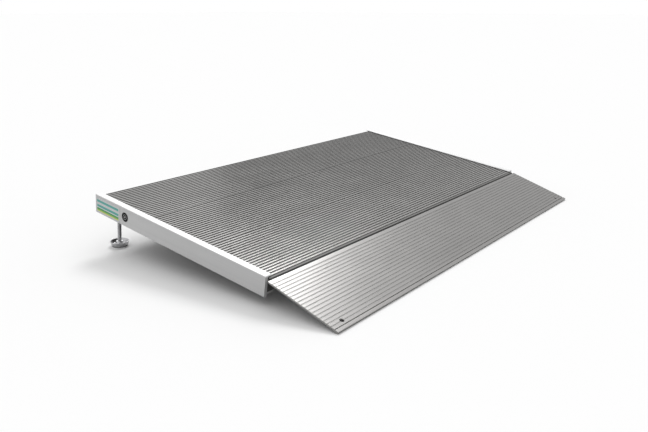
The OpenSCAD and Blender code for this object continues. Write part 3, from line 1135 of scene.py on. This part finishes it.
@dataclass
class SwivelLeg:
    """One leg: a threaded rod with its jam nut, and a foot with a rubber sole.

    Attributes:
        corner: Which leg it is.
        nodes: The CAD nodes by name.
        ball: Centre of the rod's ball, in metres.
        up: Direction of the rod.
        finishes: Materials of rod, nut, cup and sole.
        thread_r_mm: Radius of the thread's crests and of the collar.
        root_r_mm: Radius of the thread's root.
        pitch_mm: Pitch of the thread.
        crest: Share of the pitch that the crest takes up.
        chamfer_mm: Width of the chamfer at the rod's top.
        rod_facets: Facets around the rod.
        neck_r_mm: Radius of the neck above the ball.
        ball_r_mm: Radius of the ball.
        shoulder_mm: Height of the collar's foot above the ball's centre.
        collar_mm: Height of the collar.
        flat_cut_mm: Depth of the collar's two wrench flats.
        flat_ends_mm: How far the flats stay short of the collar's foot and top.
        nut_half_mm: Half the width over the nut's flats.
        nut_face: Share of that width that is flat on the nut's two faces.
        nut_lead_mm: Width of the chamfer around the nut's bore.
        nut_play_mm: Gap between the nut's bore and the thread's crests.
        nut_chamfer_deg: Slope of the chamfer on the nut's two faces.
        nut_facets: Facets around the nut.
        rim_mm: Height of the cup's rim above its foot.
        rim_wall_mm: Width of the rolled rim.
        cup_foot_mm: Radius of the cup's foot.
        dish_mm: Height of the dish's floor above the cup's foot.
        dish_in_mm: Distance of the dish's floor from the cup's rim.
        hub_mm: Radii of the hub at its foot, above its flare and at its top.
        flare_mm: Height of the hub's flare above the cup's foot.
        ball_play_mm: Gap between the ball and its hollow.
        lip_mm: Width and drop of the chamfer around the hollow's mouth.
        rings_mm: Radii of the rings that are cut into the sole.
        ring_mm: Half the width of such a ring, and its depth.
        foot_facets: Facets around cup and sole.
    """

    corner: Corner
    nodes: dict[str, bpy.types.Object]
    ball: Vector
    up: Vector
    finishes: dict[str, bpy.types.Material]
    thread_r_mm: float = 3.9
    root_r_mm: float = 3.25
    pitch_mm: float = 1.25
    crest: float = 0.16
    chamfer_mm: float = 0.4
    rod_facets: int = 32
    neck_r_mm: float = 2.2
    ball_r_mm: float = 4.2
    shoulder_mm: float = 5.3
    collar_mm: float = 5.4
    flat_cut_mm: float = 0.6
    flat_ends_mm: Point2 = (0.9, 0.6)
    nut_half_mm: float = 6.5
    nut_face: float = 0.97
    nut_lead_mm: float = 0.5
    nut_play_mm: float = 0.05
    nut_chamfer_deg: float = 30.0
    nut_facets: int = 72
    rim_mm: float = 9.0
    rim_wall_mm: float = 1.4
    cup_foot_mm: float = 15.6
    dish_mm: float = 1.8
    dish_in_mm: float = 4.9
    hub_mm: tuple[float, float, float] = (10.2, 7.4, 6.6)
    flare_mm: float = 5.0
    ball_play_mm: float = 0.3
    lip_mm: float = 0.6
    rings_mm: tuple[float, ...] = (5.0, 9.0, 13.0)
    ring_mm: Point2 = (0.6, 0.45)
    foot_facets: int = 96

    @property
    def place(self) -> str:
        """Where the leg stands, as the CAD names say it."""
        return self.corner.value

    def spindle(self) -> Spindle:
        """Returns the rod's own line, with heights from the ball's centre."""
        return Spindle(self.ball, self.up)

    def build(self) -> None:
        """Makes the rod, the nut, the cup and the sole."""
        self.rod()
        self.nut()
        self.cup()
        self.sole()

    def rod(self) -> None:
        """Makes the rod: ball, neck, collar with two wrench flats, and a cut thread."""
        node = self.nodes[f"leg_rod_{self.place}"]
        top = span(node, self.up)[1] - self.ball.dot(self.up) / MM
        lower = self.lower_rod()
        start = self.shoulder_mm + self.collar_mm
        turns = math.ceil((top - start) / self.pitch_mm) + 2
        shares = (
            (0.0, self.root_r_mm),
            (0.5 - self.crest, self.thread_r_mm),
            (0.5, self.thread_r_mm),
        )
        rows = len(lower) + turns * len(shares) + 2

        def rule(row: int, angle: float) -> Point2:
            """Places one point of the rod.

            Args:
                row: Row of the outline, from the ball's foot up.
                angle: Angle around the rod.

            Returns:
                Radius and height of the point, in mm.
            """
            if row < len(lower):
                radius, height = lower[row]
                return self.with_flats(radius, height, angle), height
            row -= len(lower)
            if row >= turns * len(shares):
                chamfered = self.root_r_mm - self.chamfer_mm
                return (chamfered, top) if row == turns * len(shares) else (0.0, top)
            turn, part = divmod(row, len(shares))
            share, radius = shares[part]
            height = start + (turn - 1 + share + angle / math.tau) * self.pitch_mm
            fade = min(max((top - height) / self.pitch_mm, 0.0), 1.0)
            radius = self.root_r_mm + (radius - self.root_r_mm) * fade
            return radius, min(max(height, start), top)

        made = self.spindle().shape(f"threaded_rod_{self.place}", rows, self.rod_facets, rule)
        seat(made, f"leg_{self.place}", node.name, self.finishes["rod"])

    def lower_rod(self) -> list[Point2]:
        """Draws the outline of ball, neck and collar.

        Returns:
            Radius and height of each point, in mm, from the ball's foot up.
        """
        end = math.pi - math.asin(self.neck_r_mm / self.ball_r_mm)
        steps = 12
        ball = []
        for step in range(steps + 1):
            turn = end * step / steps
            ball.append((self.ball_r_mm * math.sin(turn), -self.ball_r_mm * math.cos(turn)))
        collar = self.shoulder_mm
        upper = round_corners(
            [
                (*ball[-1], 0.0),
                (self.neck_r_mm, collar - 0.4, 0.35),
                (self.thread_r_mm, collar + 0.1, 0.4),
                (self.thread_r_mm, collar + self.collar_mm - 0.3, 0.25),
                (self.root_r_mm, collar + self.collar_mm, 0.0),
            ]
        )
        return ball + upper[1:]

    def with_flats(self, radius: float, height: float, angle: float) -> float:
        """Cuts the collar's two wrench flats.

        Args:
            radius: Radius of the uncut rod, in mm.
            height: Height above the ball's centre, in mm.
            angle: Angle around the rod.

        Returns:
            The radius that is left.
        """
        foot, top = self.flat_ends_mm
        above = height - self.shoulder_mm
        inside = foot < above < self.collar_mm - top
        flat = self.thread_r_mm - self.flat_cut_mm
        across = abs(math.cos(angle))
        if not inside or radius * across <= flat:
            return radius
        return flat / across

    def nut(self) -> None:
        """Makes the jam nut: a hexagon with both faces chamfered round."""
        low, high = span(self.nodes["jam_nuts"], self.up)
        base = self.ball.dot(self.up) / MM
        low, high = low - base, high - base
        bore = self.thread_r_mm + self.nut_play_mm
        flat = self.nut_half_mm
        face, lead = self.nut_face * flat, self.nut_lead_mm

        def hexagon(angle: float) -> float:
            """Returns the radius of the nut's six flats at an angle."""
            return flat / math.cos((angle + math.pi / 6) % (math.pi / 3) - math.pi / 6)

        def rule(row: int, angle: float) -> Point2:
            """Places one point of the nut.

            Args:
                row: Row of the outline, from the bore's foot around.
                angle: Angle around the nut.

            Returns:
                Radius and height of the point, in mm.
            """
            edge = hexagon(angle)
            drop = max(edge - face, 0.0) * math.tan(math.radians(self.nut_chamfer_deg))
            rows = (
                (bore, low + lead),
                (bore + lead, low),
                (face, low),
                (edge, low + drop),
                (edge, high - drop),
                (face, high),
                (bore + lead, high),
                (bore, high - lead),
                (bore, low + lead),
            )
            return rows[row]

        made = self.spindle().shape(f"jam_nut_{self.place}", 9, self.nut_facets, rule)
        seat(made, "ramp_frame", "jam_nuts", self.finishes["nut"])

    def foot_line(self) -> Spindle:
        """Returns the foot's upright line, with heights from the floor."""
        return Spindle(Vector((self.ball.x, self.ball.y, 0.0)), Vector((0.0, 0.0, 1.0)))

    def cup(self) -> None:
        """Makes the foot's pressed bowl: rolled rim, dish, hub and the ball's hollow."""
        name = f"foot_cup_{self.place}"
        low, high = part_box(name)
        base, top, reach = low.z / MM, high.z / MM, (high.x - low.x) / 2 / MM
        rim, dish = base + self.rim_mm, base + self.dish_mm
        hub_foot, hub_waist, hub_top = self.hub_mm
        ball_z = self.ball.z / MM
        hollow = self.ball_r_mm + self.ball_play_mm
        lip = top - self.lip_mm
        mouth = math.sqrt(hollow**2 - (lip - ball_z) ** 2)
        outside = round_corners(
            [
                (0.0, base, 0.0),
                (self.cup_foot_mm, base, 0.7),
                (reach, rim, 0.6),
                (reach - self.rim_wall_mm, rim, 0.6),
                (reach - self.dish_in_mm, dish, 1.6),
                (hub_foot, dish, 1.2),
                (hub_waist, base + self.flare_mm, 2.0),
                (hub_top, top, 0.9),
                (mouth + self.lip_mm, top, 0.3),
                (mouth, lip, 0.0),
            ],
            6,
        )
        start = math.acos((lip - ball_z) / hollow)
        steps = 14
        inside = []
        for step in range(1, steps + 1):
            turn = start + (math.pi - start) * step / steps
            inside.append((hollow * math.sin(turn), ball_z + hollow * math.cos(turn)))
        outline = outside + inside
        made = self.foot_line().turn(f"pressed_cup_{self.place}", outline, self.foot_facets)
        seat(made, f"foot_{self.place}", name, self.finishes["cup"])

    def sole(self) -> None:
        """Makes the rubber sole, with three rings cut into its underside."""
        name = f"foot_sole_{self.place}"
        low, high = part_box(name)
        top, reach = high.z / MM, (high.x - low.x) / 2 / MM
        half, cut = self.ring_mm
        corners = [(0.0, 0.0, 0.0)]
        for ring in self.rings_mm:
            corners += [
                (ring - half, 0.0, 0.1),
                (ring - half / 2, cut, 0.1),
                (ring + half / 2, cut, 0.1),
                (ring + half, 0.0, 0.1),
            ]
        corners += [(reach, 0.0, 0.3), (reach, top, 0.15), (0.0, top, 0.0)]
        outline = round_corners(corners, 3)
        made = self.foot_line().turn(f"ringed_sole_{self.place}", outline, self.foot_facets)
        seat(made, f"foot_{self.place}", name, self.finishes["sole"])


@dataclass
class Hardware:
    """The leg plates and the screws that hold the ramp together.

    Attributes:
        nodes: The CAD nodes by name.
        axes: Directions of the deck.
        plate_edge_mm: Width of the leg plates' broken edges.
        screw_edge_mm: Width of the screws' broken edges.
        plate_finish: Finish of the leg plates.
        zinc_finish: Finish of the screws and bolts.
    """

    nodes: dict[str, bpy.types.Object]
    axes: Axes
    plate_edge_mm: float = 0.3
    screw_edge_mm: float = 0.15
    plate_finish: DrawnAluminium = DrawnAluminium(
        "Leg_plate_aluminium", (0.50, 0.50, 0.50), 0.95, 0.38
    )
    zinc_finish: PlatedSteel = PlatedSteel("Zinc_plating", (0.60, 0.60, 0.62), 0.34, 2.5, 0.8)

    SCREWS = ("rail_screws_left", "rail_screws_right", "leg_plate_bolts")

    def dress(self) -> None:
        """Softens the edges of plates and screws and gives them their finishes."""
        plate = self.plate_finish.build(self.axes)
        for corner in Corner:
            node = self.nodes[f"leg_plate_{corner.value}"]
            soften(node, self.plate_edge_mm)
            dress(node, plate)
            log.info("%s dressed", node.name)
        zinc = self.zinc_finish.build(self.axes)
        for name in self.SCREWS:
            soften(self.nodes[name], self.screw_edge_mm)
            dress(self.nodes[name], zinc)
            log.info("%s dressed", name)


@dataclass
class Stickers:
    """The label and the round badge on the left rail.

    Attributes:
        nodes: The CAD nodes by name.
        axes: grain runs up the slope, side is square to the deck.
        label: Print of the label.
        badge: Print of the badge.
    """

    nodes: dict[str, bpy.types.Object]
    axes: Axes
    label: BandedFilm = BandedFilm(
        "Label_film",
        (0.92, 0.94, 0.94),
        (0.55, 0.54, 0.58),
        ((0.84, 0.90, 0.22), (0.24, 0.62, 0.08), (0.01, 0.36, 0.12)),
        (0.12, 0.56, 0.50),
    )
    badge: RingedFilm = RingedFilm("Badge_film", (0.002, 0.002, 0.002), (0.72, 0.72, 0.72))

    def dress(self) -> None:
        """Prints the label and the badge."""
        label = self.nodes["rail_label"]
        along = span(label, self.axes.grain)
        upward = span(label, self.axes.side)
        size = (along[1] - along[0], upward[1] - upward[0])
        dress(label, self.label.build(self.axes, (along[0], upward[0]), size))
        badge = self.nodes["round_badge"]
        centre = (sum(span(badge, self.axes.grain)) / 2, sum(span(badge, self.axes.side)) / 2)
        dress(badge, self.badge.build(self.axes, centre))
        log.info("%s and %s dressed", label.name, badge.name)


# Studio


@dataclass(frozen=True)
class Sun:
    """One soft far lamp, like a wide softbox.

    Attributes:
        name: Name of the lamp.
        azimuth_deg: Where it stands, from +X towards +Y.
        elevation_deg: How high it stands.
        strength: Its light on a face that looks at it.
        angle_deg: How wide it looks.
    """

    name: str
    azimuth_deg: float
    elevation_deg: float
    strength: float
    angle_deg: float

    def light(self) -> None:
        """Adds the lamp to the scene."""
        lamp = bpy.data.lights.new(self.name, "SUN")
        lamp.energy = self.strength
        lamp.angle = math.radians(self.angle_deg)
        made = bpy.data.objects.new(self.name, lamp)
        azimuth, elevation = math.radians(self.azimuth_deg), math.radians(self.elevation_deg)
        toward = Vector(
            (
                math.cos(azimuth) * math.cos(elevation),
                math.sin(azimuth) * math.cos(elevation),
                math.sin(elevation),
            )
        )
        made.rotation_euler = toward.to_track_quat("Z", "Y").to_euler()
        bpy.context.scene.collection.objects.link(made)
        log.info("lamp %s", self.name)


@dataclass(frozen=True)
class Studio:
    """A plain pale floor, soft light and the photograph's camera.

    Attributes:
        sky: Strength of the world's light on the object.
        floor_bounce: Shade of the floor as it lights the object from below.
        floor: Colour of the floor.
        floor_m: Length and width of the floor.
        eye: Where the camera stands, in metres.
        yaw_deg: Its heading, from +Y towards +X.
        pitch_deg: How far it looks down.
        lens_mm: Its focal length.
        sensor_mm: Width of its sensor.
        nearest_m: The nearest thing that it shows.
        suns: The lamps.
    """

    sky: float = 0.56
    floor_bounce: float = 0.30
    floor: Colour = (0.95, 0.95, 0.95)
    floor_m: float = 80.0
    eye: tuple[float, float, float] = (-1.1634, -0.8341, 0.4551)
    yaw_deg: float = 51.35
    pitch_deg: float = 17.22
    lens_mm: float = 37.65
    sensor_mm: float = 36.0
    nearest_m: float = 0.05
    suns: tuple[Sun, ...] = (
        Sun("Key_softbox", 35.0, 44.0, 1.05, 20.5),
        Sun("Top_softbox", 60.0, 78.0, 0.75, 90.0),
        Sun("Rear_softbox", 58.0, 27.0, 0.115, 26.0),
    )

    def build(self) -> None:
        """Makes the camera, the world, the lamps and the floor."""
        self.camera()
        self.world()
        for sun in self.suns:
            sun.light()
        self.ground()
        bpy.context.scene.view_settings.view_transform = "Standard"

    def camera(self) -> None:
        """Stands the camera where the photograph was taken from."""
        data = bpy.data.cameras.new("Camera")
        data.lens = self.lens_mm
        data.sensor_width = self.sensor_mm
        data.clip_start, data.clip_end = self.nearest_m, 4 * self.floor_m
        made = bpy.data.objects.new("Camera", data)
        yaw, pitch = math.radians(self.yaw_deg), math.radians(self.pitch_deg)
        ahead = Vector(
            (math.sin(yaw) * math.cos(pitch), math.cos(yaw) * math.cos(pitch), -math.sin(pitch))
        )
        made.location = self.eye
        made.rotation_euler = ahead.to_track_quat("-Z", "Y").to_euler()
        bpy.context.scene.collection.objects.link(made)
        bpy.context.scene.camera = made

    def world(self) -> None:
        """Makes a world that is white to look at and softer as a light."""
        world = bpy.data.worlds.new("Studio_world")
        world.use_nodes = True
        bpy.context.scene.world = world
        bench = Bench(world.node_tree)
        seen = self.seen(bench)
        white = grey(1.0)
        soft = bench.node("ShaderNodeBackground", None, {"Color": white, "Strength": self.sky})
        plain = bench.node("ShaderNodeBackground", None, {"Color": white, "Strength": 1.0})
        both = bench.node(
            "ShaderNodeMixShader", None, {0: seen, 1: soft.outputs[0], 2: plain.outputs[0]}
        )
        bench.node("ShaderNodeOutputWorld", None, {"Surface": both.outputs[0]})

    @staticmethod
    def seen(bench: Bench) -> Field:
        """Tells rays that look at a surface or mirror it from those that light it.

        Args:
            bench: The bench of the material or the world.

        Returns:
            1 for rays that look or mirror, and 0 for those that light.
        """
        path = bench.node("ShaderNodeLightPath")
        seen = Field(bench, path.outputs["Is Camera Ray"])
        for ray in ("Is Glossy Ray", "Is Transmission Ray"):
            seen = bench.maths("MAXIMUM", seen, Field(bench, path.outputs[ray]))
        return seen

    def ground(self) -> None:
        """Lays the floor. Seen from below it is clear, so that it hides nothing."""
        half = self.floor_m / 2
        points = [Vector((x, y, 0.0)) for x, y in ((-1, -1), (1, -1), (1, 1), (-1, 1))]
        made = make_object("Studio_floor", [point * half for point in points], [(0, 1, 2, 3)])
        material, bench = new_material("Studio_floor")
        paint = bench.tint(self.seen(bench), grey(self.floor_bounce), self.floor)
        diffuse = bench.node("ShaderNodeBsdfDiffuse", None, {"Color": paint})
        clear = bench.node("ShaderNodeBsdfTransparent")
        under = bench.node("ShaderNodeNewGeometry").outputs["Backfacing"]
        sockets = {0: under, 1: diffuse.outputs[0], 2: clear.outputs[0]}
        both = bench.node("ShaderNodeMixShader", None, sockets)
        bench.node("ShaderNodeOutputMaterial", None, {"Surface": both.outputs[0]})
        dress(made, material)


def joint_named(frame: dict, name: str) -> dict:
    """Returns the frame's joint of that name."""
    return next(joint for joint in frame["joints"] if joint["name"] == name)


def mount_named(frame: dict, name: str) -> dict:
    """Returns the record's mount of that name."""
    return next(mount for mount in frame["record"]["mounts"] if mount["name"] == name)


def leg_finishes(axes: Axes) -> dict[str, bpy.types.Material]:
    """Makes the materials that the four legs share.

    Args:
        axes: Directions of the deck.

    Returns:
        The materials of rod, nut, cup and sole.
    """
    bright = PlatedSteel("Bright_plating", (0.50, 0.50, 0.51), 0.34, 5.0, 0.35)
    rod = PlatedSteel("Rod_plating", (0.46, 0.46, 0.47), 0.42, 4.0, 0.5)
    zinc = PlatedSteel("Nut_plating", (0.58, 0.58, 0.60), 0.32, 2.5, 0.8)
    rubber = Rubber("Sole_rubber", (0.022, 0.022, 0.023), (0.20, 0.19, 0.18))
    return {
        "cup": bright.build(axes),
        "rod": rod.build(axes),
        "nut": zinc.build(axes),
        "sole": rubber.build(axes),
    }


def main() -> None:
    """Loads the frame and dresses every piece."""
    logging.basicConfig(level=logging.INFO, format="%(name)s: %(message)s")
    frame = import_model()
    nodes = frame["nodes"]
    down = Vector(joint_named(frame, "leg_travel_top_left")["axis"])
    up = -down
    along = up.cross(ACROSS)
    plate_up = Vector(mount_named(frame, "anchor_hole_left")["axis"])

    Studio().build()
    Deck(nodes, up, along).dress()
    hinge = Vector(joint_named(frame, "plate_hinge")["pos_m"])
    TransitionPlate(nodes["transition_plate"], plate_up, plate_up.cross(ACROSS), hinge).dress()
    Hardware(nodes, Axes(ACROSS, along, up)).dress()
    Stickers(nodes, Axes(along, up, ACROSS)).dress()
    finishes = leg_finishes(Axes(ACROSS, along, up))
    for corner in Corner:
        ball = Vector(joint_named(frame, f"foot_tilt_{corner.value}")["pos_m"])
        SwivelLeg(corner, nodes, ball, up, finishes).build()


if __name__ == "__main__":
    main()
